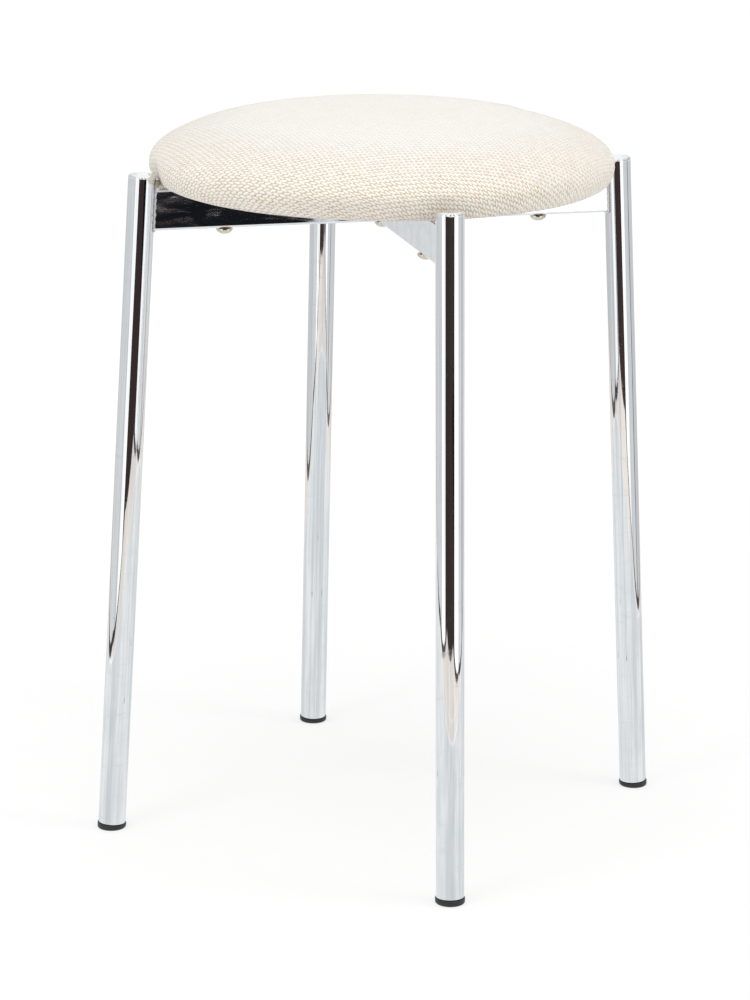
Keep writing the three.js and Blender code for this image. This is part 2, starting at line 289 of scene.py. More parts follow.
class Graph:
    """Adds nodes to a tree. Inputs are sockets to link or plain values to set."""

    def __init__(self, tree):
        self.tree = tree
        tree.nodes.clear()

    def add(self, kind, inputs=None, **settings):
        node = self.tree.nodes.new(kind)
        for name, value in settings.items():
            setattr(node, name, value)
        for name, value in (inputs or {}).items():
            if isinstance(value, bpy.types.NodeSocket):
                self.tree.links.new(value, node.inputs[name])
            else:
                node.inputs[name].default_value = value
        return node

    def value(self, kind, inputs=None, **settings):
        """Adds a node and gives its first output."""
        return self.add(kind, inputs, **settings).outputs[0]

    def math(self, operation, a, b=0.0, c=0.0, clamp=False):
        return self.value("ShaderNodeMath", {0: a, 1: b, 2: c}, operation=operation, use_clamp=clamp)

    def times(self, a, b):
        return self.math("MULTIPLY", a, b)

    def times_plus(self, a, b, c):
        return self.math("MULTIPLY_ADD", a, b, c)

    def apart(self, a, b):
        """How far two values lie apart."""
        return self.math("ABSOLUTE", self.math("SUBTRACT", a, b))

    def vector(self, operation, a, b):
        return self.value("ShaderNodeVectorMath", {0: a, 1: b}, operation=operation)

    def scaled(self, a, amount):
        return self.value("ShaderNodeVectorMath", {0: a, "Scale": amount}, operation="SCALE")

    def dot(self, a, b):
        return self.add("ShaderNodeVectorMath", {0: a, 1: b}, operation="DOT_PRODUCT").outputs["Value"]

    def length(self, a):
        return self.add("ShaderNodeVectorMath", {0: a}, operation="LENGTH").outputs["Value"]

    def parts(self, place):
        return self.add("ShaderNodeSeparateXYZ", {0: place}).outputs

    def choose(self, share, a, b):
        return self.value("ShaderNodeMix", {0: share, 2: a, 3: b})

    def blend(self, share, a, b):
        inputs = {0: share, 6: a, 7: b}
        return self.add("ShaderNodeMix", inputs, data_type="RGBA").outputs[2]

    def between(self, value, low, high, start=0.0, stop=1.0):
        """Rises smoothly from start to stop as the value goes from low to high."""
        inputs = {"Value": value, "From Min": low, "From Max": high, "To Min": start, "To Max": stop}
        return self.value("ShaderNodeMapRange", inputs, interpolation_type="SMOOTHSTEP")

    def cloud(self, place, scale, detail, roughness, distortion=0.0):
        return self.add("ShaderNodeTexNoise", {
            "Vector": place, "Scale": scale, "Detail": detail, "Roughness": roughness,
            "Distortion": distortion})

    def noise(self, place, scale, detail=2.0, roughness=0.5, distortion=0.0):
        return self.cloud(place, scale, detail, roughness, distortion).outputs[0]

    def wander(self, place, scale, roughness, amount):
        """A smooth shift to any side, up to half the amount."""
        shift = self.cloud(place, scale, 2, roughness).outputs[1]
        return self.scaled(self.vector("SUBTRACT", shift, (0.5, 0.5, 0.5)), amount)

    def bump(self, height, strength, distance):
        inputs = {"Height": height, "Strength": strength, "Distance": distance}
        return self.value("ShaderNodeBump", inputs)

    def mapped(self, place, scale, rotation=(0, 0, 0)):
        inputs = {"Vector": place, "Rotation": rotation, "Scale": scale}
        return self.value("ShaderNodeMapping", inputs)

    def object_place(self, scale=(1, 1, 1)):
        return self.mapped(self.add("ShaderNodeTexCoord").outputs["Object"], scale)

    def own_place(self):
        return self.add("ShaderNodeAttribute", attribute_name="own_place").outputs["Vector"]

    def surface(self, **inputs):
        names = {key.replace("_", " "): value for key, value in inputs.items()}
        shader = self.add("ShaderNodeBsdfPrincipled", names)
        self.add("ShaderNodeOutputMaterial", {"Surface": shader.outputs[0]})


def new_material(name):
    material = bpy.data.materials.new(name)
    material.use_nodes = True
    return material, Graph(material.node_tree)


def rgb(red, green, blue):
    """Linear colour of an sRGB one given from 0 to 255."""
    shares = [value / 255 for value in (red, green, blue)]
    linear = [v / 12.92 if v <= 0.04045 else ((v + 0.055) / 1.055) ** 2.4 for v in shares]
    return (*linear, 1.0)


def tube_chrome():
    """Bright plate over drawn tube: soft bands and hairlines along the tube, wiped smears and specks."""
    material, g = new_material("tube_chrome")
    own = g.own_place()
    drawn = g.mapped(own, (1, 1, 0.012))
    bands = g.between(g.noise(drawn, 170, 3, 0.6), 0.38, 0.62)
    hairs = g.between(g.noise(drawn, 1500, 1, 0.4), 0.6, 0.74)
    wiped = g.mapped(own, (0.6, 0.6, 1.6))
    smear = g.between(g.noise(wiped, 70, 5, 0.66, 0.8), 0.5, 0.72)
    specks = g.between(g.noise(own, 900, 2, 0.5), 0.71, 0.78)
    dull = g.times_plus(smear, 0.05, 0.03)
    dull = g.times_plus(specks, 0.12, dull)
    below_cap = g.between(g.parts(own)[2], LEG_LENGTH - 2.6 * MM, LEG_LENGTH - 4.0 * MM)
    colour = g.blend(g.times(bands, below_cap), rgb(248, 249, 250), rgb(226, 228, 231))
    colour = g.blend(g.times(hairs, 0.35), colour, rgb(196, 197, 200))
    colour = g.blend(g.times(smear, 0.4), colour, rgb(228, 230, 233))
    lines = g.times(g.noise(drawn, 240, 2, 0.5), below_cap)
    normal = g.bump(lines, 0.22, 0.00006)
    g.surface(Base_Color=colour, Metallic=1.0, Roughness=dull, Normal=normal)
    return material


def bar_chrome():
    """Bright plate on flat bar walls: slightly hollow, with cloudy wiped patches and crossing scratches."""
    material, g = new_material("bar_chrome")
    place = g.object_place()
    wave = g.noise(g.object_place((1, 1, 2)), 22, 2, 0.4)
    wiped = g.mapped(place, (0.7, 0.7, 2.2), rotation=(0.0, 0.5, 0.0))
    smear = g.between(g.noise(wiped, 40, 5, 0.62, 0.9), 0.4, 0.74)
    slanted = g.mapped(place, (0.05, 1, 1), rotation=(0.0, 0.7, 0.0))
    scratch = g.between(g.noise(slanted, 1700, 1, 0.4), 0.66, 0.76)
    specks = g.between(g.noise(place, 800, 2, 0.5), 0.7, 0.78)
    dull = g.times_plus(smear, 0.15, 0.045)
    dull = g.times_plus(g.times(scratch, smear), 0.2, dull)
    dull = g.times_plus(specks, 0.12, dull)
    mottle = g.between(g.noise(g.object_place((1, 1, 0.4)), 120, 4, 0.6), 0.36, 0.66)
    plate = g.blend(mottle, rgb(253, 254, 255), rgb(243, 246, 252))
    colour = g.blend(g.times(smear, 0.5), plate, rgb(232, 236, 244))
    normal = g.bump(wave, 0.2, 0.0002)
    g.surface(Base_Color=colour, Metallic=1.0, Roughness=dull, Normal=normal)
    return material


def weld_plate():
    """Plate over a weld: rippled and pitted, browned and rough where it heaps up, and painted dark where it
    meets the leg, as shade of the gap there.
    """
    material, g = new_material("weld_plate")
    place = g.object_place()
    across, _, heaped = g.parts(g.own_place())
    # painted shade: a dark line on the bead's side next to the leg, fainter where the bead heaps up
    root = g.times(g.between(across, 0.5, 0.62), g.between(across, 1.0, 0.9))
    lump = g.noise(place, 700, 4, 0.6)
    pit = g.between(g.noise(place, 1500, 1), 0.62, 0.75)
    browned = g.blend(g.between(lump, 0.35, 0.65), rgb(176, 164, 150), rgb(216, 208, 198))
    plate = g.blend(g.times(heaped, 0.85), rgb(240, 241, 243), browned)
    root = g.times(root, g.times_plus(heaped, -0.3, 0.45))
    plate = g.blend(root, plate, rgb(34, 31, 30))
    colour = g.blend(pit, plate, rgb(120, 112, 106))
    dull = g.times_plus(heaped, 0.2, g.times_plus(lump, 0.08, 0.02))
    rough = g.times(lump, g.times_plus(heaped, 0.7, 0.3))
    normal = g.bump(rough, 0.7, 0.0006)
    g.surface(Base_Color=colour, Metallic=1.0, Roughness=dull, Normal=normal)
    return material


def warm_nickel():
    """Polished nickel of the bolts, slightly yellow, with a mottled tone."""
    material, g = new_material("warm_nickel")
    place = g.object_place()
    tone = g.noise(place, 420, 4, 0.6)
    colour = g.blend(tone, rgb(214, 204, 184), rgb(238, 232, 220))
    dull = g.times_plus(tone, 0.1, 0.03)
    normal = g.bump(g.noise(place, 2600, 2), 0.1, 0.00005)
    g.surface(Base_Color=colour, Metallic=1.0, Roughness=dull, Normal=normal)
    return material


def zinc_plate():
    """Dull zinc on the pronged nuts and staples, mottled by its crystals."""
    material, g = new_material("zinc_plate")
    place = g.object_place()
    crystal = g.add("ShaderNodeTexVoronoi", {"Vector": place, "Scale": 900.0}).outputs["Color"]
    grey = g.value("ShaderNodeSeparateColor", {0: crystal})
    colour = g.blend(grey, rgb(168, 172, 178), rgb(206, 208, 210))
    dull = g.times_plus(grey, 0.2, 0.28)
    normal = g.bump(g.noise(place, 1800, 3), 0.2, 0.00006)
    g.surface(Base_Color=colour, Metallic=1.0, Roughness=dull, Normal=normal)
    return material


def black_plastic():
    """Moulded plastic with a fine spark finish, greyer where it has rubbed on floors."""
    material, g = new_material("black_plastic")
    place = g.object_place()
    grain = g.noise(place, 2400, 3, 0.6)
    near_sole = g.between(g.parts(place)[2], 1.6 * MM, 0.0)
    rubbed = g.times(near_sole, g.noise(place, 500, 4, 0.7))
    colour = g.blend(rubbed, rgb(38, 38, 39), rgb(92, 90, 87))
    dull = g.times_plus(grain, 0.22, 0.32)
    normal = g.bump(grain, 0.3, 0.00008)
    g.surface(Base_Color=colour, Roughness=dull, Normal=normal)
    return material


def birch_plywood():
    """Plies that change their grain's direction, with glue lines between them."""
    material, g = new_material("birch_plywood")
    ply = 1.5 * MM
    level = g.parts(g.object_place())[2]
    layer = g.math("DIVIDE", g.math("SUBTRACT", level, SEAT_LOW + FOAM_INSET - ply / 2), ply)
    number = g.math("FLOOR", layer)
    crossed = g.math("PINGPONG", number, 1.0)
    lengthwise = g.noise(g.object_place((3, 40, 1)), 5, 6, 0.62, 1.4)
    crosswise = g.noise(g.object_place((40, 3, 1)), 5, 6, 0.62, 1.4)
    grain = g.choose(crossed, lengthwise, crosswise)
    pores = g.between(g.noise(g.object_place((60, 900, 60)), 2.2, 2), 0.6, 0.7)
    glue = g.between(g.apart(g.math("FRACT", layer), 0.5), 0.42, 0.5)
    pale = g.blend(g.between(grain, 0.35, 0.68), rgb(222, 192, 148), rgb(196, 158, 112))
    streaked = g.blend(g.times(pores, 0.45), pale, rgb(150, 110, 72))
    sides = g.blend(g.times(crossed, 0.35), streaked, rgb(170, 128, 84))
    colour = g.blend(g.times(glue, 0.5), sides, rgb(104, 74, 48))
    height = g.math("SUBTRACT", grain, g.times(pores, 0.6))
    normal = g.bump(height, 0.25, 0.0002)
    g.surface(Base_Color=colour, Roughness=0.62, Normal=normal)
    return material


def open_foam():
    """Pale yellow foam with open cells."""
    material, g = new_material("open_foam")
    place = g.object_place()
    cell = g.add("ShaderNodeTexVoronoi", {"Vector": place, "Scale": 1100.0}).outputs["Distance"]
    tone = g.noise(place, 60, 3)
    base = g.blend(tone, rgb(233, 219, 168), rgb(242, 231, 190))
    colour = g.blend(g.between(cell, 0.25, 0.7), base, rgb(204, 184, 128))
    g.surface(Base_Color=colour, Roughness=0.96, Normal=g.bump(cell, 0.5, 0.0004))
    return material


# The weave, in millimetres of cloth. One float of cream yarn lies in each cell, and they lean
# one way in every second cell and another in those between. Tan yarn shows as a spot beside each float.
CELL_ALONG = np.array((3.35, -0.25))
CELL_UP = np.array((-0.45, 3.85))
SPOT_PLACE = np.array((1.8, -1.6))
STEEP_FLOAT = {"start": (0.0, 0.0), "lean": -59.0, "half_length": 2.7, "half_width": 1.1, "seed": 3.0}
SHALLOW_FLOAT = {
    "start": tuple(CELL_ALONG), "lean": -33.0, "half_length": 2.55, "half_width": 1.04, "seed": 11.0}
TAN_SPOT = {"start": tuple(SPOT_PLACE), "lean": -40.0, "half_length": 1.2, "half_width": 0.82, "seed": 17.0}
SMALL_SPOT = {
    "start": tuple(SPOT_PLACE + CELL_ALONG), "lean": -40.0, "half_length": 0.9, "half_width": 0.55,
    "seed": 23.0}
# Two opposite sides, along a line turned by this from X, are painted paler, a stand-in for sheen and for
# floats hiding the tan yarn where the camera sees them at a grazing angle.
GRAZED_SIDES_TURN = -0.2594


def float_yarn(g, cloth, spec):
    """Height of one set of floats at a place of the cloth, a tone of each float's own, and how far
    down its lower side the place is, where the float is painted in shade."""
    repeat = np.column_stack((CELL_ALONG + CELL_UP, CELL_ALONG - CELL_UP))
    inverse = np.linalg.inv(repeat)
    lean = math.radians(spec["lean"])
    along = np.array((math.cos(lean), math.sin(lean)))
    across = np.array((-math.sin(lean), math.cos(lean)))
    place = g.vector("SUBTRACT", cloth, (*spec["start"], 0))
    offsets, cells = [], []
    for row in inverse:
        step = g.dot(place, (*row, 0))
        cell = g.math("ROUND", step)
        cells.append(cell)
        offsets.append(g.math("SUBTRACT", step, cell))
    reach = []
    for direction in (along, across):
        shares = repeat.T @ direction
        first = g.times(offsets[0], float(shares[0]))
        reach.append(g.times_plus(offsets[1], float(shares[1]), first))
    name = g.value("ShaderNodeCombineXYZ", {0: cells[0], 1: cells[1], 2: spec["seed"]})
    own = g.value("ShaderNodeTexWhiteNoise", {"Vector": name})
    width = g.times_plus(own, spec["half_width"] * 0.34, spec["half_width"] * 0.83)
    far = g.math("POWER", g.math("ABSOLUTE", g.math("DIVIDE", reach[0], spec["half_length"])), 2.4)
    wide = g.math("POWER", g.math("ABSOLUTE", g.math("DIVIDE", reach[1], width)), 2.0)
    rest = g.math("SUBTRACT", g.math("SUBTRACT", 1.0, far), wide, clamp=True)
    height = g.math("SQRT", rest)
    twist = g.math("SINE", g.times_plus(reach[0], 5.2, g.times(reach[1], 6.4)))
    strands = g.times(g.times(twist, 0.08), height)
    lower_side = g.between(g.math("DIVIDE", reach[1], width), -0.25, -0.85)
    return g.math("ADD", height, strands), own, lower_side


def woven_cloth():
    """Cream floats with tan yarn between and painted shade in their gaps, creases and lower sides, from the
    cloth's own map so that they follow the surface.
    """
    material, g = new_material("woven_cloth")
    map_place = g.value("ShaderNodeUVMap", uv_map="cloth")
    flat = g.scaled(map_place, 1000.0)
    drift = g.wander(flat, 0.11, 0.5, 1.6)
    ragged = g.wander(flat, 0.75, 0.6, 1.5)
    cloth = g.vector("ADD", g.vector("ADD", flat, drift), ragged)
    steep, steep_tone, steep_lower = float_yarn(g, cloth, STEEP_FLOAT)
    shallow, shallow_tone, shallow_lower = float_yarn(g, cloth, SHALLOW_FLOAT)
    spot, spot_tone, _ = float_yarn(g, cloth, TAN_SPOT)
    small_spot, _, _ = float_yarn(g, cloth, SMALL_SPOT)
    fuzz = g.noise(flat, 2.4, 3, 0.65)
    # more tan yarn and painted shade show toward the edge; the crown and the two sides that the camera sees
    # at a grazing angle are painted paler, standing in for sheen and for floats that hide the tan yarn
    # there
    reach = g.length(flat)
    grazed_sides_way = (math.cos(GRAZED_SIDES_TURN), math.sin(GRAZED_SIDES_TURN), 0)
    grazed_sides = g.between(g.math("ABSOLUTE", g.dot(flat, grazed_sides_way)), 80.0, 180.0, 1.0, 0.68)
    ungrazed_share = g.times(g.between(reach, 90.0, 178.0, 0.3, 1.0), grazed_sides)
    rim = g.between(reach, 110.0, 180.0)
    top = g.math("MAXIMUM", steep, shallow)
    spots = g.math("MAXIMUM", g.times(spot, 0.82), g.times(small_spot, 0.62))
    tan_shows = g.times(g.between(g.math("SUBTRACT", spots, top), -0.08, 0.16), ungrazed_share)
    # painted shade: darker in the creases where two floats meet and down each float's lower side
    crease = g.between(g.apart(steep, shallow), 0.0, 0.3, 1.0, 0.0)
    steep_first = g.math("GREATER_THAN", steep, shallow)
    tone = g.choose(steep_first, shallow_tone, steep_tone)
    lower = g.choose(steep_first, shallow_lower, steep_lower)
    # the brown ground between floats: the tan yarn below, darkened with painted shade in the gaps
    ground_and_gap_shade = g.blend(g.noise(flat, 0.55, 2, 0.6), rgb(188, 162, 136), rgb(220, 201, 177))
    yarn_tone = g.times_plus(fuzz, 0.6, g.times(tone, 0.4))
    crown_cream = g.blend(yarn_tone, rgb(250, 251, 247), rgb(247, 247, 241))
    # painted light: the cream toward the rim is a little warmer, for the warm light that bounces inside the
    # shaded cloth there
    rim_cream = g.blend(yarn_tone, rgb(252, 252, 246), rgb(248, 246, 238))
    cream = g.blend(rim, crown_cream, rim_cream)
    # painted shade of creases and lower sides, toward a darker warm cream
    painted_fold_shade = g.times(g.math("MAXIMUM", g.times(crease, 0.8), lower), ungrazed_share)
    cream = g.blend(g.times(painted_fold_shade, 0.5), cream, rgb(232, 203, 177))
    # where floats lie low, the ground shows with its painted gap shade
    covered = g.math("SUBTRACT", 1.0, g.times(g.between(top, 0.4, 0.06), ungrazed_share))
    yarn = g.blend(covered, ground_and_gap_shade, cream)
    tan = g.blend(spot_tone, rgb(232, 199, 158), rgb(245, 226, 200))
    yarn = g.blend(g.times(tan_shows, 0.8), yarn, tan)
    cloudy = g.between(g.noise(flat, 0.03, 3, 0.6), 0.45, 0.75)
    colour = g.blend(g.times(cloudy, 0.05), yarn, rgb(226, 208, 188))
    height = g.times_plus(fuzz, 0.18, g.math("MAXIMUM", top, spots))
    normal = g.bump(height, 0.65, 0.0007)
    g.surface(Base_Color=colour, Roughness=0.92, Sheen_Weight=0.4, Sheen_Roughness=0.45, Normal=normal)
    return material


TUBE = tube_chrome()
BAR = bar_chrome()
WELD = weld_plate()
NICKEL = warm_nickel()
ZINC = zinc_plate()
PLASTIC = black_plastic()
PLYWOOD = birch_plywood()
FOAM = open_foam()
CLOTH = woven_cloth()


# Legs and glides

def make_leg(side, degrees):
    """Tube with a closed top whose shoulder is rounded, open below for its glide."""
    bore = LEG_RADIUS - LEG_WALL
    shoulder = (LEG_RADIUS - LEG_SHOULDER, LEG_LENGTH - LEG_TOP_DOME - LEG_SHOULDER)
    shares = np.linspace(0.12, 1, 8)
    dome = [(shoulder[0] * (1 - t), LEG_LENGTH - LEG_TOP_DOME * (1 - t) ** 2) for t in shares]
    profile = [
        (0, LEG_LENGTH - LEG_WALL),
        (shoulder[0], LEG_LENGTH - LEG_TOP_DOME - LEG_WALL),
        (bore, shoulder[1]),
        (bore, GLIDE_HEIGHT),
        (LEG_RADIUS - LEG_MOUTH_BEVEL, GLIDE_HEIGHT),
        *arc((LEG_RADIUS - LEG_MOUTH_BEVEL, GLIDE_HEIGHT + LEG_MOUTH_BEVEL), LEG_MOUTH_BEVEL, -75, 0, 4),
        *[(LEG_RADIUS, z) for z in np.linspace(GLIDE_HEIGHT + 3 * MM, shoulder[1] - 1 * MM, 12)],
        *arc(shoulder, LEG_SHOULDER, 0, 90, 12),
        *dome,
    ]
    points, faces = turn(profile, 128)
    leg = make_piece(f"leg_tube_{side}", turned(stand_on_leg(points), degrees), faces, TUBE)
    # each tube's bands and smears start at another place
    away = degrees / 60
    keep_own_place(leg, [(x + away, y, z) for x, y, z in points])
    leg.data.set_sharp_from_angle(angle=math.radians(40))
    finish_piece(leg, "chrome", f"leg_{side}")


def make_glide(side, degrees):
    """Plastic cap: a lip with moulding lines round the leg's axis, a level sole and a ribbed stem."""
    lip_top = GLIDE_HEIGHT - FIT_GAP
    stem_radius = LEG_RADIUS - LEG_WALL - FIT_GAP
    stem_top = lip_top + STEM_LENGTH
    ribs = []
    for number in range(RIB_COUNT):
        start = lip_top + RIB_PITCH * number
        ribs += [
            (stem_radius - RIB_DEPTH, start + RIB_START),
            (stem_radius, start + RIB_CREST),
            (stem_radius - RIB_BACK_DEPTH, start + RIB_BACK)]
    lines = []
    for share in LINE_SHARES:
        level = lip_top * share
        lines += [
            (GLIDE_RADIUS, level - LINE_DEPTH),
            (GLIDE_RADIUS - LINE_DEPTH, level),
            (GLIDE_RADIUS, level + LINE_DEPTH)]
    profile = [
        (0, 0),
        *[(GLIDE_RADIUS * share, 0) for share in (0.3, 0.6, 0.8)],
        *arc((GLIDE_RADIUS - SOLE_ROUNDING, SOLE_ROUNDING), SOLE_ROUNDING, -90, 0, 8),
        *[line for line in lines if line[1] > SOLE_ROUNDING],
        *arc((GLIDE_RADIUS - LIP_ROUNDING, lip_top - LIP_ROUNDING), LIP_ROUNDING, 0, 90, 5),
        (stem_radius - RIB_DEPTH, lip_top),
        *ribs,
        (stem_radius - STEM_TAPER, stem_top),
        (0, stem_top),
    ]
    points, faces = turn(profile, 72)
    placed = []
    for (x, y, z), (px, py, pz) in zip(points, stand_on_leg(points)):
        # the sole and its rounding are level with the floor; above, the cap follows the leg
        level_share = min(max(1 - (z - SOLE_ROUNDING) / (lip_top - SOLE_ROUNDING), 0), 1)
        placed.append((px, py, pz + (z - pz) * level_share))
    glide = make_piece(f"glide_cap_{side}", turned(placed, degrees), faces, PLASTIC)
    glide.data.set_sharp_from_angle(angle=math.radians(50))
    finish_piece(glide, "black_plastic", f"glide_{side}")


for side, degrees in SIDES.items():
    make_leg(side, degrees)
    make_glide(side, degrees)


# Bars and welds

def bar_section(growth, arc_steps=8):
    """Rounded upright section as points across and up, with their outward directions. A point stands
    on the flat beside each round, so that the flat shades flat."""
    half_width, half_height = BAR_WIDTH / 2, BAR_HEIGHT / 2
    points, outward = [], []
    for quarter, (sx, sy) in enumerate(((1, 1), (-1, 1), (-1, -1), (1, -1))):
        centre = (sx * (half_width - BAR_CORNER), sy * (half_height - BAR_CORNER))
        angles = [math.radians(90 * quarter + 90 * k / arc_steps) for k in range(arc_steps + 1)]
        rim = [(math.cos(a), math.sin(a)) for a in angles]
        before = (-rim[0][1], rim[0][0])
        after = (-rim[-1][1], rim[-1][0])
        edge = [(centre[0] + c * BAR_CORNER, centre[1] + s * BAR_CORNER) for c, s in rim]
        places = [
            (edge[0][0] - before[0] * BAR_GUARD, edge[0][1] - before[1] * BAR_GUARD),
            *edge,
            (edge[-1][0] + after[0] * BAR_GUARD, edge[-1][1] + after[1] * BAR_GUARD),
        ]
        ways = [rim[0], *rim, rim[-1]]
        points += [(x + w[0] * growth, y + w[1] * growth) for (x, y), w in zip(places, ways)]
        outward += ways
    return points, outward


def make_bar(name, node, degrees, coped_start, bolt_places):
    """Rectangular tube with rounded edges, cut to the round of the legs at its coped ends."""
    outer, _ = bar_section(0)
    inner, _ = bar_section(-BAR_WALL)
    count = len(outer)
    points = []

    def ring(section, place):
        points.extend((place(y, BAR_MIDDLE + z), y, BAR_MIDDLE + z) for y, z in section)

    def far_end(back=0.0):
        return lambda y, z: face_of_leg(y, z, FIT_GAP) - back

    def near_end(ahead=0.0):
        if coped_start:
            return lambda y, z: -face_of_leg(y, z, FIT_GAP) + ahead
        return lambda y, z: BAR_WIDTH / 2 + FIT_GAP + ahead

    ring(outer, near_end())
    ring(outer, near_end(BAR_END_EDGE))
    ring(outer, far_end(BAR_END_EDGE))
    ring(outer, far_end())
    ring(inner, far_end())
    ring(inner, near_end())
    bar = make_piece(name, points, grid_faces(6, count, close_rows=True), BAR)
    radius = BOLT_RADIUS + FIT_GAP
    low, high = BAR_TOP - BAR_HEIGHT - CUT_OVERRUN, BAR_TOP + CUT_OVERRUN
    cutters = []
    for place in bolt_places:
        hole_points, hole_faces = turn([(0, low), (radius, low), (radius, high), (0, high)], 32)
        moved = [(x + place, y, z) for x, y, z in hole_points]
        cutters.append(make_piece("hole", moved, hole_faces, BAR))
    carve(bar, cutters)
    bar.data.transform(Matrix.Rotation(math.radians(degrees), 4, "Z"))
    finish_piece(bar, "chrome", node)


make_bar("cross_bar_long", "long_bar", 0, True, (-BOLT_SPREAD, 0, BOLT_SPREAD))
make_bar("cross_bar_front", "half_bar_front", 270, False, (BOLT_SPREAD,))
make_bar("cross_bar_back", "half_bar_back", 90, False, (BOLT_SPREAD,))


def make_end_weld(side, degrees, seed):
    """Bead round a bar's end: overlapping ripples, heaped unevenly on the top."""
    section, outward = bar_section(BEAD_SEAT, arc_steps=6)
    corners = len(section)
    # more places along the flats, so that the ripples show there too
    path, ways = [], []
    for k in range(corners):
        a, b = section[k], section[(k + 1) % corners]
        steps = max(1, round(math.dist(a, b) / BEAD_STEP))
        for step in range(steps):
            t = step / steps
            path.append((a[0] + (b[0] - a[0]) * t, a[1] + (b[1] - a[1]) * t))
            ways.append(outward[k])
    wobble = random.Random(seed)
    waves = []
    for _ in range(5):
        waves.append((wobble.uniform(0.5, 1.6), wobble.uniform(0, 6.28), wobble.uniform(0.04, 0.1)))
    length, rows, shares = 0.0, [], []
    arc_angles = np.radians(np.linspace(0, 90, 8))
    for k, ((y, z), (ny, nz)) in enumerate(zip(path, ways)):
        length += math.dist(path[k], path[k - 1]) if k else 0
        run = length / MM
        ripple = abs(math.sin(run * 2.4)) ** 0.7
        uneven = sum(size * math.sin(rate * run + start) for rate, start, size in waves)
        heap = max(nz, 0) ** 2 * 4.6 * (1 + 0.2 * math.sin(1.3 * y / MM + seed))
        size = BEAD_SIZE * (0.75 + 0.25 * ripple + uneven) + BEAD_HEAP * heap
        row = []
        for a in arc_angles:
            back = size * max(math.cos(a), 0) ** 0.72 * (0.85 + 0.3 * ripple)
            out = size * max(math.sin(a), 0) ** 0.72
            py, pz = y + ny * out, BAR_MIDDLE + z + nz * out
            row.append((face_of_leg(py, pz, BEAD_GAP) - back, py, pz))
        row.append((face_of_leg(y, BAR_MIDDLE + z, BEAD_GAP), y, BAR_MIDDLE + z))
        rows.append(row)
        # how far across the bead, and how much it is heaped up
        shares += [(n / (len(row) - 1), 0, smooth_share(nz, 0.3, 0.9)) for n in range(len(row))]
    columns = len(rows[0])
    points = [point for row in rows for point in row]
    weld = make_piece(
        f"weld_bead_{side}", turned(points, degrees), grid_faces(len(rows), columns, close_rows=True), WELD)
    keep_own_place(weld, shares)
    weld.data.set_sharp_from_angle(angle=math.radians(60))
    finish_piece(weld, "chrome", f"end_weld_{side}")


for number, (side, degrees) in enumerate(SIDES.items()):
    make_end_weld(side, degrees, seed=20 + number)


def make_corner_weld(name, degrees, seed):
    """Upright fillet between two bars, hollow in section, with the weld's ripples up it."""
    wobble = random.Random(seed)
    shift = wobble.uniform(0, 6.28)
    corner = BAR_WIDTH / 2 + FIT_GAP
    low, top = BAR_TOP - BAR_HEIGHT + BAR_CORNER, BAR_TOP - BAR_CORNER
    points = []
    levels = np.linspace(low, top, 90)
    for level in levels:
        run = (level - low) / MM
        ripple = 0.14 * abs(math.sin(1.9 * run + shift)) + 0.05 * math.sin(0.37 * run + shift)
        size = FILLET_SIZE * (0.86 + ripple)
        for t in np.linspace(0, 1, 9):
            # quadratic curve that sags toward the corner
            x = (1 - t) ** 2 * size + 2 * t * (1 - t) * 0.3 * size
            y = t ** 2 * size + 2 * t * (1 - t) * 0.3 * size
            points.append((corner + x, corner + y, level))
        points.append((corner, corner, level))
    columns = 10
    faces = grid_faces(len(levels), columns)
    faces += [tuple(range(columns)), tuple(range((len(levels) - 1) * columns, len(levels) * columns))]
    weld = make_piece(f"corner_bead_{name}", turned(points, degrees), faces, WELD)
    weld.data.set_sharp_from_angle(angle=math.radians(60))
    finish_piece(weld, "chrome", f"corner_weld_{name}")


for number, name in enumerate(("back_right", "back_left", "front_left", "front_right")):
    make_corner_weld(name, 90 * number, seed=40 + number)


# Bolts

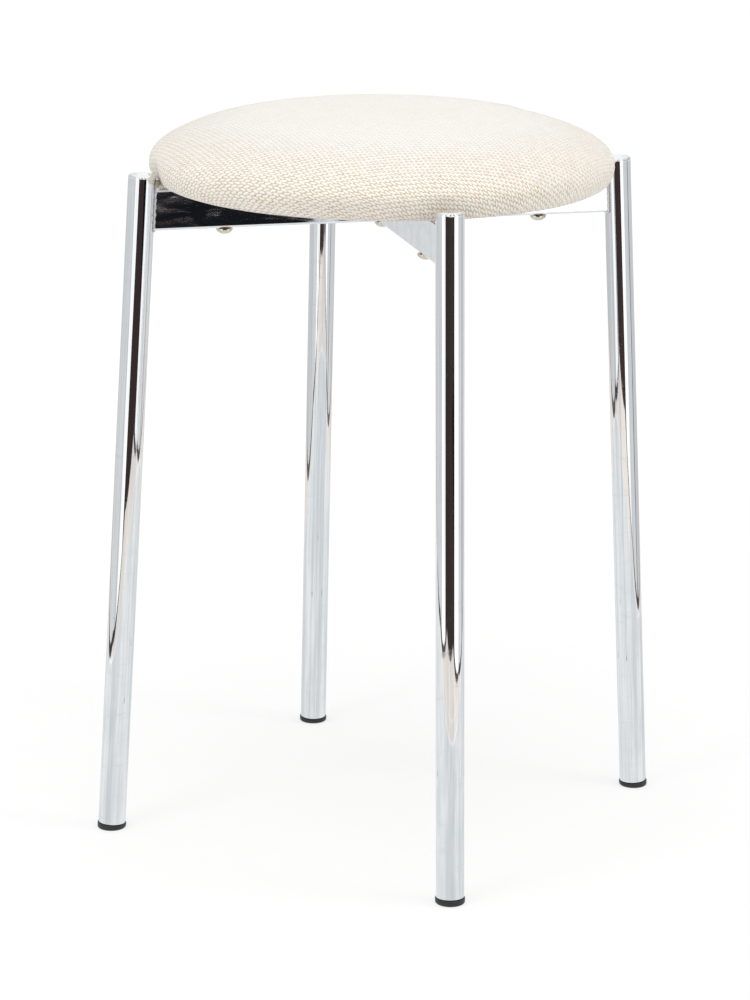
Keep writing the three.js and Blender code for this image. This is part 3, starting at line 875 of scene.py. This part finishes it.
def make_bolt(name, across_x, across_y, quarter_turn):
    """Bolt whose domed head is below, with a crossed recess, and whose upper length is threaded."""
    segments = 40
    domed = HEAD_HEIGHT - HEAD_EDGE
    dome = [
        (HEAD_RADIUS * math.cos(a), BOLT_SEAT - HEAD_EDGE - domed * math.sin(a))
        for a in np.radians(np.linspace(88, 0, 16))]
    tip = BOLT_SEAT + BOLT_LENGTH
    thread_start = tip - THREAD_LENGTH
    head = [
        (0, BOLT_SEAT - HEAD_HEIGHT),
        *dome,
        (HEAD_RADIUS, BOLT_SEAT - HEAD_BEVEL),
        (HEAD_RADIUS - HEAD_BEVEL, BOLT_SEAT),
        (BOLT_RADIUS + NECK_FILLET, BOLT_SEAT),
        (BOLT_RADIUS, BOLT_SEAT + NECK_FILLET),
    ]
    threaded = [(BOLT_RADIUS, z) for z in np.arange(thread_start, tip - TIP_LENGTH, THREAD_PITCH / 5)]
    profile = [*head, *threaded, (BOLT_RADIUS - TIP_TAPER, tip), (0, tip)]
    points, faces = turn(profile, segments)
    shaped = []
    for x, y, z in points:
        radius = math.hypot(x, y)
        if z >= thread_start and radius > BOLT_RADIUS * 0.9:
            turns = (z - thread_start) / THREAD_PITCH - math.atan2(y, x) / (2 * math.pi)
            fade = min((z - thread_start) / (2 * THREAD_PITCH), 1)
            depth = THREAD_DEPTH * fade * (0.5 + 0.5 * math.cos(2 * math.pi * turns))
            x, y = x * (1 - depth / radius), y * (1 - depth / radius)
        shaped.append((x, y, z))
    bolt = make_piece(f"bolt_{name}", shaped, faces, NICKEL)
    # the recess is two crossed wedges, narrower at their ends
    low = BOLT_SEAT - HEAD_HEIGHT - CUT_OVERRUN
    deep = BOLT_SEAT - HEAD_HEIGHT + RECESS_DEPTH
    corners = []
    for level, reach_share, width_share in ((low, 1, 1.25), (deep, 0.45, 0.8)):
        reach, half_width = RECESS_REACH * reach_share, RECESS_WIDTH / 2 * width_share
        corners += [(sx * reach, sy * half_width, level) for sx, sy in ((-1, -1), (1, -1), (1, 1), (-1, 1))]
    box = [(0, 1, 2, 3), (4, 5, 6, 7), (0, 1, 5, 4), (1, 2, 6, 5), (2, 3, 7, 6), (3, 0, 4, 7)]
    carve(bolt, [make_piece("wing", turned(corners, degrees), box, NICKEL) for degrees in (0, 90)])
    bolt.data.transform(Matrix.Translation((across_x, across_y, 0)) @ Matrix.Rotation(quarter_turn, 4, "Z"))
    finish_piece(bolt, "nickel", f"seat_bolt_{name}")


make_bolt("middle", 0, 0, 0.5)
for number, (side, degrees) in enumerate(SIDES.items()):
    away = math.radians(degrees)
    make_bolt(side, BOLT_SPREAD * math.cos(away), BOLT_SPREAD * math.sin(away), 0.3 + 0.47 * number)


# Seat

def seat_curve(inset, crown_steps, drop_steps):
    """The seat's outline drawn in by an inset, as radius and level, from the crown to the underside."""
    def quarter(half_width, height, fullness, angle):
        across = math.sin(angle) ** (2 / fullness)
        rise = math.cos(angle) ** (2 / fullness) if angle < math.pi / 2 else 0.0
        slope = (across ** (fullness - 1) / half_width, rise ** (fullness - 1) / height)
        normal = Vector(slope).normalized()
        return half_width * across - inset * normal.x, height * rise - inset * normal.y

    crown, drop = [], []
    for step in range(crown_steps + 1):
        x, y = quarter(SEAT_RADIUS, CROWN_HEIGHT, CROWN_FULLNESS, math.pi / 2 * step / crown_steps)
        crown.append((max(x, 0.0), SEAT_WIDE + y))
    flat_radius = SEAT_RADIUS - DROP_WIDTH
    for step in range(drop_steps):
        x, y = quarter(DROP_WIDTH, DROP_HEIGHT, DROP_FULLNESS, math.pi / 2 * (1 - (step + 1) / drop_steps))
        drop.append((flat_radius + x, SEAT_WIDE - y))
    return crown, drop


def simulated_swell():
    """Cloth blown up over the pad, held at its underside. Gives a tree of its surface to measure from."""
    crown, drop = seat_curve(SWELL_INSET, 24, 8)
    points, faces = turn([*crown, *drop, (0, drop[-1][1])], 96)
    pad = make_piece("swell", points, faces, CLOTH)
    remesh = pad.modifiers.new("even", "REMESH")
    remesh.mode = "VOXEL"
    remesh.voxel_size = SWELL_VOXEL
    without_modifiers(pad)
    low = min(v.co.z for v in pad.data.vertices)
    held = pad.vertex_groups.new(name="held")
    for v in pad.data.vertices:
        if v.co.z < low + 2 * MM:
            held.add([v.index], 1.0, "REPLACE")
    start = np.array([v.co for v in pad.data.vertices])
    cloth = pad.modifiers.new("cloth", "CLOTH")
    settings = cloth.settings
    settings.quality = 6
    settings.mass = 0.25
    settings.use_pressure = True
    settings.uniform_pressure_force = SWELL_PRESSURE
    settings.vertex_group_mass = "held"
    settings.effector_weights.gravity = 0.0
    settings.tension_stiffness = 25
    settings.compression_stiffness = 25
    settings.shear_stiffness = 10
    settings.bending_stiffness = 2
    for number in range(1, SWELL_FRAMES + 1):
        scene.frame_set(number)
    graph = bpy.context.evaluated_depsgraph_get()
    blown = bpy.data.meshes.new_from_object(pad.evaluated_get(graph))
    scene.frame_set(1)
    moved = np.array([v.co for v in blown.vertices]) - start
    far = np.linalg.norm(moved, axis=1, keepdims=True)
    capped = start + moved * np.minimum(1, SWELL_CAP / np.maximum(far, 1e-9))
    tree = BVHTree.FromPolygons([tuple(p) for p in capped], [tuple(p.vertices) for p in blown.polygons])
    bpy.data.meshes.remove(blown)
    bpy.data.objects.remove(pad)
    return tree


def swell_along(tree, points, normals):
    """How far the blown cloth stands outside each point."""
    swell = np.zeros(len(points))
    depth, reach = 12 * MM, 40 * MM
    for k, (point, normal) in enumerate(zip(points, normals)):
        hit = tree.ray_cast(Vector(point) - Vector(normal) * depth, Vector(normal), reach)
        swell[k] = hit[3] - depth if hit[0] is not None else 0.0
    return swell


SWELL_TREE = simulated_swell()


def from_nearest_leg(angle):
    """Distance along the rim."""
    return abs((angle + math.pi / 4) % (math.pi / 2) - math.pi / 4) * SEAT_RADIUS


def lift(angle, radius, level):
    """How far the rim's lower side is drawn up: most in front, while it hangs a little elsewhere."""
    toward = math.degrees(angle) % 360
    front = smooth_share(toward, 222, 246) * (1 - smooth_share(toward, 283, 306))
    share = smooth_share(level, *LOWER_SIDE) * smooth_share(radius, *LOWER_RIM)
    return (FRONT_LIFT * front - RIM_HANG) * share


def settled(level):
    """How far the crown has sunk in use."""
    return CROWN_SUNK * smooth_share(level, *CROWN_SIDE)


def bulge(angle, radius, level):
    """How far the filling pushes the rim out past the plain round, held back where a leg stands."""
    full = RIM_BULGE + RIM_UNEVEN * math.cos(angle - FULLEST_SIDE)
    share = (radius / SEAT_RADIUS) ** 7
    if level < SEAT_WIDE:
        share *= max((level - SEAT_LOW) / DROP_HEIGHT, 0) ** 0.4
    free = smooth_share(from_nearest_leg(angle), 2 * MM, 24 * MM)
    above = smooth_share(level, LEG_TOP_LEVEL - 2 * MM, LEG_TOP_LEVEL + 12 * MM)
    return full * share * (1 - (1 - free) * (1 - above))


def clear_of_bars(x, y):
    """0 over the bars and 1 away from them."""
    return smooth_share(min(abs(x), abs(y)), *GATHER_CLEARANCE)


def pleat_depth():
    """Depth of the gathers round the underside, one value for each step round."""
    wobble = random.Random(9)
    depth = np.zeros(AROUND)
    steps = np.arange(AROUND)
    place = 0.0
    while place < AROUND:
        width = wobble.uniform(1.4, 2.6)
        size = wobble.uniform(0.25, 1.0)
        lean = wobble.choice((0.55, 1.6))
        away = (steps - place + AROUND / 2) % AROUND - AROUND / 2
        side_width = np.where(away < 0, width * lean, width)
        depth = np.maximum(depth, size * np.exp(-(away / side_width) ** 2))
        place += wobble.uniform(4.2, 8.5)
    return depth


def cover_outline():
    """Outline of the cover's wall, from the crown round the hem and back inside, and where its crown,
    its outside and its hem end."""
    crown, drop = seat_curve(0, 64, 20)
    inner_crown, inner_drop = seat_curve(COVER_THICKNESS, 28, 10)
    flat_radius = SEAT_RADIUS - DROP_WIDTH
    under = [(r, SEAT_LOW) for r in np.linspace(flat_radius, HEM_RADIUS + 1 * MM, 18)[1:]]
    lip = COVER_THICKNESS / 2
    hem = arc((HEM_RADIUS + lip, SEAT_LOW + lip), lip, 270, 90, 6)
    over = [(r, SEAT_LOW + COVER_THICKNESS) for r in np.linspace(HEM_RADIUS + 2 * MM, flat_radius, 8)[:-1]]
    outside = [*crown, *drop, *under]
    turned_in = [*outside, *hem]
    profile = [*turned_in, *over, *inner_drop[::-1], *inner_crown[::-1]]
    return profile, len(crown), len(outside), len(turned_in)


def facing(profile):
    """Direction square to the outline at each of its places."""
    ways = []
    for k in range(len(profile)):
        before, after = profile[max(k - 1, 0)], profile[min(k + 1, len(profile) - 1)]
        ways.append(Vector((before[1] - after[1], after[0] - before[0])).normalized())
    return ways


def kept_swell(rings, ways, angles, blown_count):
    """What the cover keeps of the cloth's swell: evened out, for each ring and each step round."""
    swell = np.zeros(rings.shape[:2])
    if SWELL_TREE is None:
        return swell
    for n in range(blown_count):
        way = ways[n]
        normals = [(way.x * math.cos(a), way.x * math.sin(a), way.y) for a in angles]
        swell[n] = swell_along(SWELL_TREE, rings[n], normals)
    swell[:blown_count] -= float(np.median(swell[:blown_count]))
    swell = np.clip(swell, *SWELL_KEPT) - COVER_SLACK
    for _ in range(SWELL_ROUNDS):
        swell = (swell + np.roll(swell, 1, 1) + np.roll(swell, -1, 1)) / 3
        swell[1:-1] = (swell[:-2] + swell[1:-1] + swell[2:]) / 3
    return swell


def map_cloth(cover, runs, angles):
    """Gives each point its place on the flat cloth, by how far along the outline its ring lies."""
    ways = np.column_stack((np.cos(angles), np.sin(angles)))
    places = np.zeros((len(cover.data.vertices), 2))
    for n, run in enumerate(runs):
        places[n * AROUND:(n + 1) * AROUND] = ways * run
    corners = np.zeros(len(cover.data.loops), int)
    cover.data.loops.foreach_get("vertex_index", corners)
    layer = cover.data.uv_layers.new(name="cloth")
    layer.data.foreach_set("uv", places[corners].ravel())


def make_cover():
    """Woven cover: one shell from the crown round the edge and in under the board to its hem."""
    profile, crown_end, outside_end, hem_end = cover_outline()
    points, faces = turn(profile, AROUND)
    shell = np.array(points)
    # the outline's two ends lie on the axis, and each place between them is a ring of the shell
    count = len(profile) - 2
    rings = shell[:count * AROUND].reshape(count, AROUND, 3)
    ways = facing(profile)[1:-1]
    angles = np.linspace(0, 2 * math.pi, AROUND, endpoint=False)
    swell = kept_swell(rings, ways, angles, crown_end + 11)

    pleats = pleat_depth()
    for n in range(count):
        k = n + 1
        radius, level = profile[k]
        way = ways[n]
        fade = smooth_share(level, SEAT_LOW, SEAT_LOW + 8 * MM)
        gathered = crown_end + 6 <= k < outside_end + 4
        grow = min(max((GATHER_START - radius) / GATHER_RUN, 0), 1) ** 1.3 if gathered else 0.0
        for column, angle in enumerate(angles):
            x, y, _ = rings[n][column]
            # the inside wall faces the filling, so outwards is the other way there
            out = COVER_SLACK + settled(level) if k >= hem_end else swell[n][column] - settled(level)
            out = out * fade - pleats[column] * grow * GATHER_DEPTH * clear_of_bars(x, y)
            aside = way.x * out + bulge(angle, radius, level)
            rise = way.y * out + lift(angle, radius, level)
            rings[n][column] += (aside * math.cos(angle), aside * math.sin(angle), rise)
    # the two middle points follow the rings beside them
    for middle, n in ((-2, 0), (-1, count - 1)):
        shell[middle][2] += rings[n][:, 2].mean() - profile[n + 1][1]

    cover = make_piece("woven_cover", shell, faces, CLOTH)
    # the weave runs along the outline to the hem's edge, and back over the inside
    runs = np.cumsum([math.dist(place, profile[max(k - 1, 0)]) for k, place in enumerate(profile)])
    edge_run = runs[hem_end - 1]
    map_cloth(cover, (edge_run - np.abs(runs - edge_run))[1:-1], angles)
    finish_piece(cover, "woven_cover", "seat_cover")


def make_foam():
    """Foam that caps the board and reaches down round its edge."""
    crown, drop = seat_curve(FOAM_INSET + FOAM_SLACK, 40, 12)
    skirt = [place for place in drop if place[1] > SKIRT_LEVEL]
    outside = [*crown, *skirt, (skirt[-1][0] - SKIRT_EDGE, SKIRT_LEVEL)]
    bore, ceiling = BOARD_RADIUS + FIT_GAP, BOARD_TOP + FIT_GAP
    profile = [
        *outside,
        (bore, SKIRT_LEVEL),
        *[(bore * share, ceiling) for share in (1, 0.8, 0.5, 0.2, 0)],
    ]
    segments = 144
    points, faces = turn(profile, segments)
    middle_of_crown = len(points) - 2
    pushed = []
    for index, (x, y, z) in enumerate(points):
        radius, angle = math.hypot(x, y), math.atan2(y, x)
        if index < (len(outside) - 1) * segments or index == middle_of_crown:
            away = radius + bulge(angle, radius, z)
            x, y = away * math.cos(angle), away * math.sin(angle)
            z += lift(angle, radius, z) - settled(z)
        pushed.append((x, y, z))
    foam = make_piece("foam_pad", pushed, faces, FOAM)
    foam.data.set_sharp_from_angle(angle=math.radians(50))
    finish_piece(foam, "foam", "seat_foam")


make_cover()
make_foam()


# Staples

def staple_tree():
    """Geometry nodes that stand wire staples round a ring, and leave out those over the bars."""
    tree = bpy.data.node_groups.new("staple_ring", "GeometryNodeTree")
    tree.is_modifier = True
    sizes = {
        "Ring Radius": STAPLE_RADIUS, "Level": SEAT_LOW - STAPLE_SUNK, "Crown Width": 10 * MM,
        "Leg Length": 6 * MM, "Wire Radius": 0.35 * MM, "Bar Clearance": BAR_CLEARANCE}
    tree.interface.new_socket("Geometry", in_out="OUTPUT", socket_type="NodeSocketGeometry")
    tree.interface.new_socket("Count", in_out="INPUT", socket_type="NodeSocketInt")
    for name in sizes:
        tree.interface.new_socket(name, in_out="INPUT", socket_type="NodeSocketFloat")
    tree.interface.new_socket("Material", in_out="INPUT", socket_type="NodeSocketMaterial")
    g = Graph(tree)
    given = g.add("NodeGroupInput").outputs

    # one staple, its crown along Y and its legs up
    half = g.times(given["Crown Width"], 0.5)
    neg = g.times(half, -1.0)
    bend = g.times(given["Leg Length"], 0.12)
    corners = []
    for along, up in ((neg, given["Leg Length"]), (neg, bend), (half, bend), (half, given["Leg Length"])):
        corners.append(g.value("ShaderNodeCombineXYZ", {1: along, 2: up}))
    wire = g.value("GeometryNodeCurvePrimitiveCircle", {"Resolution": 8, "Radius": given["Wire Radius"]})
    joined = g.add("GeometryNodeJoinGeometry")
    for start, stop in zip(corners, corners[1:]):
        line = g.value("GeometryNodeCurvePrimitiveLine", {"Start": start, "End": stop})
        swept = g.value("GeometryNodeCurveToMesh", {
            "Curve": line, "Profile Curve": wire, "Fill Caps": True})
        tree.links.new(swept, joined.inputs[0])
    points = g.value("GeometryNodeMeshCircle", {"Vertices": given["Count"], "Radius": given["Ring Radius"]})
    x, y, _ = g.parts(g.value("GeometryNodeInputPosition"))
    near = g.math("MINIMUM", g.math("ABSOLUTE", x), g.math("ABSOLUTE", y))
    away = g.value("FunctionNodeCompare", {0: near, 1: given["Bar Clearance"]}, operation="GREATER_THAN")
    toward = g.math("ARCTAN2", y, x)
    turn_by = g.add("FunctionNodeRandomValue", {2: -0.16, 3: 0.16, "Seed": 4}).outputs[1]
    spun = g.value("ShaderNodeCombineXYZ", {2: g.math("ADD", toward, turn_by)})
    stood = g.value("GeometryNodeInstanceOnPoints", {
        "Points": points, "Selection": away, "Instance": joined.outputs[0], "Rotation": spun})
    height = g.value("ShaderNodeCombineXYZ", {2: given["Level"]})
    raised = g.value("GeometryNodeTransform", {"Geometry": stood, "Translation": height})
    real = g.value("GeometryNodeRealizeInstances", {0: raised})
    coloured = g.value("GeometryNodeSetMaterial", {"Geometry": real, "Material": given["Material"]})
    g.add("NodeGroupOutput", {0: coloured})
    return tree, sizes


def make_staples():
    tree, sizes = staple_tree()
    staples = add_object("hem_staples", bpy.data.meshes.new("hem_staples"))
    modifier = staples.modifiers.new("staples", "NODES")
    modifier.node_group = tree
    given = {**sizes, "Count": STAPLE_COUNT, "Material": ZINC}
    for item in tree.interface.items_tree:
        if item.item_type == "SOCKET" and item.in_out == "INPUT":
            modifier[item.identifier] = given[item.name]
    without_modifiers(staples)
    finish_piece(staples, "zinc")


make_staples()

for name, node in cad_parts.items():
    for start, material in (("pronged_nut", ZINC), ("seat_board", PLYWOOD)):
        if name.startswith(start):
            node.data.materials.clear()
            node.data.materials.append(material)


# Studio

CAMERA_TURN = 0.2594
STUDIO_RIGHT = (math.cos(CAMERA_TURN), -math.sin(CAMERA_TURN), 0)
STUDIO_AWAY = (math.sin(CAMERA_TURN), math.cos(CAMERA_TURN), 0)


def studio_place(x, y):
    """A place of the studio plan, whose -Y is toward the camera, in the stool's frame."""
    return x * STUDIO_RIGHT[0] + y * STUDIO_AWAY[0], x * STUDIO_RIGHT[1] + y * STUDIO_AWAY[1]


def make_camera():
    data = bpy.data.cameras.new("camera")
    data.sensor_width = 36
    data.lens = 133.97
    data.clip_start, data.clip_end = 0.1, 60
    camera = add_object("camera", data)
    distance, height = 2.64188, 0.9725
    pitch, yaw, roll = 0.2710, 0.0014, 0.0098
    turned_by = Matrix.Rotation(yaw - CAMERA_TURN, 4, "Z") @ Matrix.Rotation(math.pi / 2 - pitch, 4, "X")
    place = Vector((-distance * STUDIO_AWAY[0], -distance * STUDIO_AWAY[1], height))
    camera.matrix_world = Matrix.Translation(place) @ turned_by @ Matrix.Rotation(roll, 4, "Z")
    scene.camera = camera


def make_lamp(name, place, aim, size, power):
    data = bpy.data.lights.new(name, "AREA")
    data.shape = "DISK"
    data.size = size
    data.energy = power
    lamp = add_object(name, data)
    lamp.location = place
    lamp.rotation_mode = "QUATERNION"
    lamp.rotation_quaternion = (Vector(aim) - Vector(place)).to_track_quat("-Z", "Y")
    lamp.visible_glossy = False


def make_card(name, places, colour, strength, low=0.0, top=1.5, streaks=0.0):
    """An upright card along a line of places, faintly streaked. Only polished metal sees it."""
    mesh = bpy.data.meshes.new(name)
    plan = [studio_place(*place) for place in places]
    points = [(x, y, level) for x, y in plan for level in (low, top)]
    mesh.from_pydata(points, [], [(2 * k, 2 * k + 2, 2 * k + 3, 2 * k + 1) for k in range(len(plan) - 1)])
    material, g = new_material(name)
    streak = g.noise(g.object_place((1, 1, 0.01)), 22, 4, 0.7)
    level = g.between(streak, 0.38, 0.62, strength * (1 - streaks), strength * (1 + streaks))
    glow = g.value("ShaderNodeEmission", {"Color": colour, "Strength": level})
    g.add("ShaderNodeOutputMaterial", {"Surface": glow})
    mesh.materials.append(material)
    card = add_object(name, mesh)
    for ray in ("camera", "diffuse", "transmission", "volume_scatter", "shadow"):
        setattr(card, f"visible_{ray}", False)


# Edges of the paper that the stool stands on, each from one place of the plan to the next.
# The paper lies on the left of each edge.
PAPER_EDGES = (
    ((-0.715, 0.5), (-0.715, -0.29)), ((-0.715, -0.29), (-0.472, -0.79)), ((-0.5, -1.04), (0.5, -1.04)),
    ((0.485, -0.90), (0.725, -0.42)), ((0.725, -0.42), (0.725, 0.5)))


def paper_share(g, spot):
    """1 on the paper and 0 beyond its edges."""
    share = 1.0
    for start, stop in PAPER_EDGES:
        (x0, y0), (x1, y1) = studio_place(*start), studio_place(*stop)
        length = math.hypot(x1 - x0, y1 - y0)
        inward = (-(y1 - y0) / length, (x1 - x0) / length)
        base = inward[0] * x0 + inward[1] * y0
        inside = g.between(g.dot(spot, (*inward, 0)), base - 4 * MM, base + 6 * MM)
        share = g.times(inside, share)
    return share


def mirrored_paper(g, spot):
    """The floor as the metal sees it: grey-blue near the stool, warmer farther out, dark beyond."""
    reach = g.length(spot)
    aside = g.dot(spot, STUDIO_RIGHT)
    away = g.dot(spot, STUDIO_AWAY)
    cloud = g.noise(spot, 6.0, 5, 0.55, 0.4)
    near = g.blend(g.between(cloud, 0.36, 0.66), rgb(224, 228, 230), rgb(238, 240, 240))
    paper = g.blend(g.between(reach, 0.7, 0.73), near, rgb(242, 235, 228))
    for ring, width in ((0.715, 0.012), (0.8, 0.006)):
        away_from_ring = g.apart(reach, ring)
        paper = g.blend(g.between(away_from_ring, width, width * 0.4), paper, rgb(255, 255, 255))
    blackest = g.times(g.between(aside, 0.72, 0.84), g.between(away, -2.75, -2.5))
    dark = g.blend(blackest, rgb(60, 51, 49), rgb(20, 22, 26))
    front_only = g.between(away, 0.2, -0.2)
    beyond = g.blend(front_only, rgb(96, 90, 88), dark)
    return g.blend(paper_share(g, spot), beyond, paper)


def make_floor():
    """Pale floor that keeps the stool's shadow. Metal sees it as paper that ends near the stool."""
    mesh = bpy.data.meshes.new("floor")
    half = 14
    corners = [(-half, -half, 0), (half, -half, 0), (half, half, 0), (-half, half, 0)]
    mesh.from_pydata(corners, [], [(0, 1, 2, 3)])
    material, g = new_material("floor_paper")
    rays = g.add("ShaderNodeLightPath").outputs
    spot = g.add("ShaderNodeTexCoord").outputs["Object"]
    mirrored = g.value("ShaderNodeEmission", {"Color": mirrored_paper(g, spot), "Strength": 1.0})
    matt = g.value("ShaderNodeBsdfDiffuse", {"Color": (0.86, 0.86, 0.86, 1)})
    shaded = g.value("ShaderNodeBsdfDiffuse", {"Color": (0.3, 0.3, 0.3, 1)})
    level = g.between(g.length(spot), 0.3, 1.6, 0.71, 0.82)
    glow = g.value("ShaderNodeEmission", {"Color": (1, 1, 1, 1), "Strength": level})
    shown = g.value("ShaderNodeAddShader", {0: shaded, 1: glow})
    plain = g.value("ShaderNodeMixShader", {0: rays["Is Camera Ray"], 1: matt, 2: shown})
    both = g.value("ShaderNodeMixShader", {0: rays["Is Glossy Ray"], 1: plain, 2: mirrored})
    below = g.add("ShaderNodeNewGeometry").outputs["Backfacing"]
    clear = g.value("ShaderNodeBsdfTransparent")
    one_sided = g.value("ShaderNodeMixShader", {0: below, 1: both, 2: clear})
    g.add("ShaderNodeOutputMaterial", {"Surface": one_sided})
    mesh.materials.append(material)
    add_object("floor", mesh)


def room_light(g):
    """White room with three slim dark stands in front, which rise past the level of the eye."""
    way = g.add("ShaderNodeTexCoord").outputs["Generated"]
    front = g.dot(way, [-part for part in STUDIO_AWAY])
    rise = g.parts(way)[2]
    slant = g.math("DIVIDE", g.dot(way, STUDIO_RIGHT), g.math("MAXIMUM", front, 0.001))
    stands = 0.0
    for place in (-0.75, 0.08, 0.66):
        off = g.apart(slant, place)
        stands = g.math("MAXIMUM", g.between(off, 0.1, 0.06), stands)
    reached = g.times(g.between(rise, 0.05, 0.1), g.between(rise, 0.92, 0.8))
    return g.blend(g.times(stands, reached), (1, 1, 1, 1), (0.03, 0.03, 0.03, 1))


def make_world():
    """White behind the stool, a pale room in the metal, and an even soft light on the rest."""
    world = bpy.data.worlds.new("studio")
    world.use_nodes = True
    scene.world = world
    g = Graph(world.node_tree)
    rays = g.add("ShaderNodeLightPath").outputs
    soft = g.value("ShaderNodeBackground", {"Color": (1, 1, 1, 1), "Strength": 0.665})
    room = g.value("ShaderNodeBackground", {"Color": room_light(g), "Strength": 0.97})
    white = g.value("ShaderNodeBackground", {"Color": (1, 1, 1, 1), "Strength": 1.0})
    lit = g.value("ShaderNodeMixShader", {0: rays["Is Glossy Ray"], 1: soft, 2: room})
    shown = g.value("ShaderNodeMixShader", {0: rays["Is Camera Ray"], 1: lit, 2: white})
    g.add("ShaderNodeOutputWorld", {"Surface": shown})


WHITE = (1, 1, 1, 1)
GREY = (0.97, 0.99, 1, 1)
UMBER = (1, 0.8, 0.74, 1)
make_camera()
make_floor()
make_world()
make_card("card_left", ((-0.475, -0.88), (-0.67, -0.49)), WHITE, 1.2)
make_card("card_left_grey", ((-0.67, -0.49), (-0.77, -0.3), (-0.77, 1.6)), GREY, 0.68, streaks=0.1)
make_card("card_right", ((0.55, -0.915), (0.735, -0.455)), WHITE, 1.2)
make_card("card_right_grey", ((0.735, -0.455), (0.765, -0.37), (0.765, 0.02)), GREY, 0.74, streaks=0.1)
make_card("card_right_far", ((0.765, 0.08), (0.765, 1.6)), GREY, 0.7, streaks=0.1)
make_card("card_back_left", ((-0.77, 1.6), (-0.28, 1.6)), GREY, 0.86, streaks=0.06)
make_card("card_back_right", ((0.28, 1.6), (0.765, 1.6)), GREY, 0.86, streaks=0.06)
make_card("dark_edge_left", ((-0.47, -0.87), (-0.515, -0.78)), UMBER, 0.05, low=0.56)
make_card("dark_edge_right", ((0.545, -0.905), (0.575, -0.82)), UMBER, 0.04, low=0.56)
make_card("dark_rail", ((0.575, -0.82), (0.755, -0.37), (0.755, 1.0)), GREY, 0.03, low=0.56, top=0.66)
make_lamp("overhead", (-0.15, -0.25, 2.3), (0, 0, 0.45), 1.5, 12)
make_lamp("fore_left", (-2.2, -1.3, 1.5), (0, 0, 0.4), 1.2, 13.5)
make_lamp("fore_right", (2.2, -1.3, 1.5), (0, 0, 0.4), 1.2, 15.5)

scene.view_settings.view_transform = "Standard"
